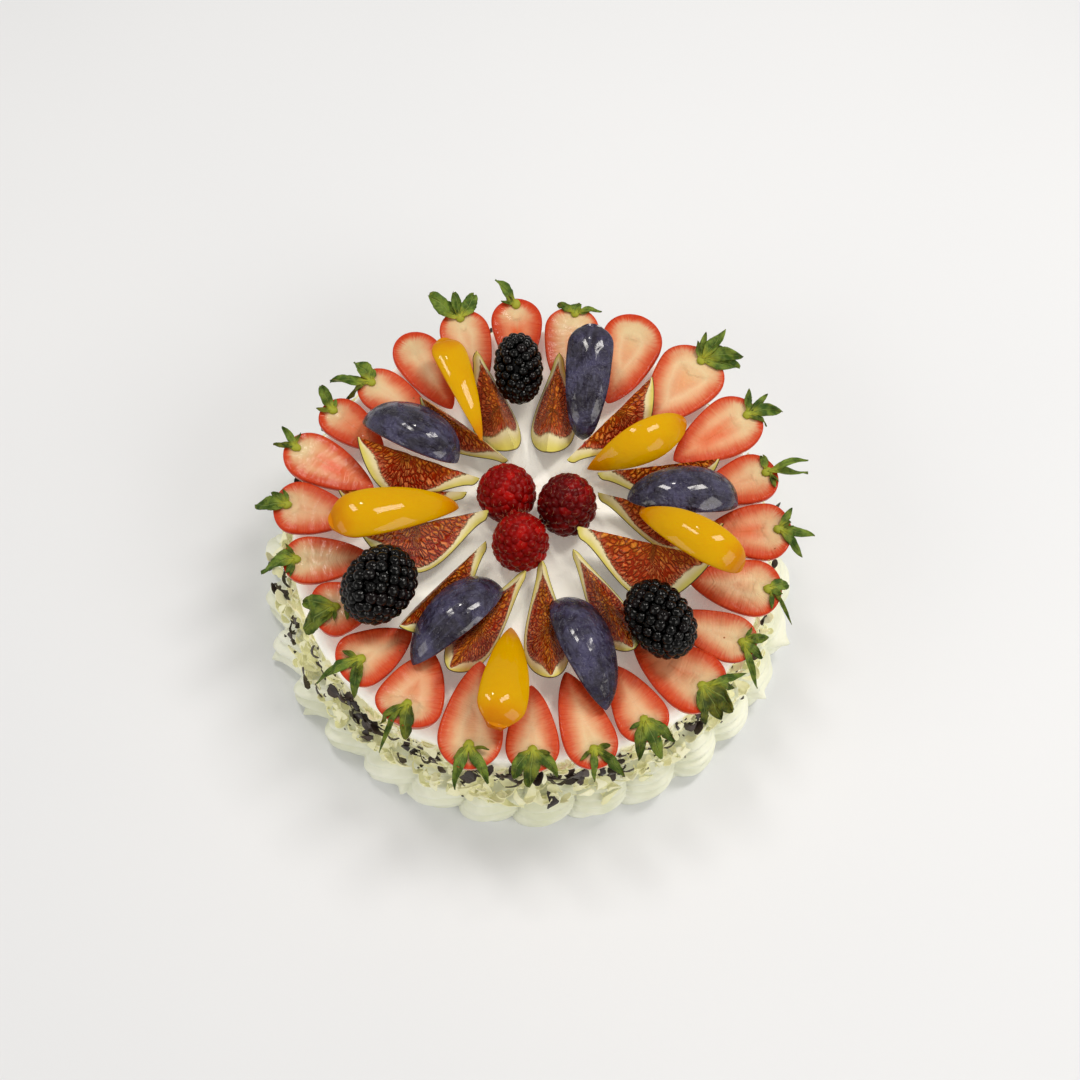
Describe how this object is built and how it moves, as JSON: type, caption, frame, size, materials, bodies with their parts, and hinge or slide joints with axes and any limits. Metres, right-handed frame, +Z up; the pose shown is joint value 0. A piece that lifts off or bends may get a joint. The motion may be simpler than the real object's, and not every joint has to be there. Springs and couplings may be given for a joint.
{
  "type": "fruit cake",
  "caption": "Round cream cake with a piped border, dressed in rings with strawberry halves, fig wedges, peach and plum slices and whole berries.",
  "frame": {"origin": "middle of the cake's flat bottom, at the height it rests on", "axes": "+Z up out of the fruit, +Y towards the back of the cake as the picture shows it, +X to its right"},
  "size_m": [0.236, 0.2273, 0.0925],
  "materials": {
    "cream": "soft satin whipped cream",
    "strawberry": "glazed cut fruit with green leaves",
    "fig": "moist seedy flesh with a dark skin",
    "peach": "glazed yellow flesh",
    "plum": "glazed dark blue skin",
    "dark_berry": "wet black drupelets",
    "raspberry": "glazed crimson drupelets"
  },
  "bodies": {
    "root": {"cake": "cream", "cream_border": "cream", "strawberry_01": "strawberry", "strawberry_02": "strawberry", "strawberry_03": "strawberry", "strawberry_04": "strawberry", "strawberry_05": "strawberry", "strawberry_06": "strawberry", "strawberry_07": "strawberry", "strawberry_08": "strawberry", "strawberry_09": "strawberry", "strawberry_10": "strawberry", "strawberry_11": "strawberry", "strawberry_12": "strawberry", "strawberry_13": "strawberry", "strawberry_14": "strawberry", "strawberry_15": "strawberry", "strawberry_16": "strawberry", "strawberry_17": "strawberry", "strawberry_18": "strawberry", "strawberry_19": "strawberry", "strawberry_20": "strawberry", "strawberry_21": "strawberry", "strawberry_22": "strawberry", "strawberry_23": "strawberry", "strawberry_24": "strawberry", "fig_wedge_01": "fig", "fig_wedge_02": "fig", "fig_wedge_03": "fig", "fig_wedge_04": "fig", "fig_wedge_05": "fig", "fig_wedge_06": "fig", "fig_wedge_07": "fig", "fig_wedge_08": "fig", "fig_wedge_09": "fig", "fig_wedge_10": "fig", "fig_wedge_11": "fig", "fig_wedge_12": "fig", "fig_wedge_13": "fig", "fig_wedge_14": "fig", "peach_slice_1": "peach", "peach_slice_2": "peach", "peach_slice_3": "peach", "peach_slice_4": "peach", "peach_slice_5": "peach", "plum_slice_1": "plum", "plum_slice_2": "plum", "plum_slice_3": "plum", "plum_slice_4": "plum", "plum_slice_5": "plum", "dark_berry_1": "dark_berry", "dark_berry_2": "dark_berry", "dark_berry_3": "dark_berry", "raspberry_1": "raspberry", "raspberry_2": "raspberry", "raspberry_3": "raspberry"}
  },
  "joints": []
}
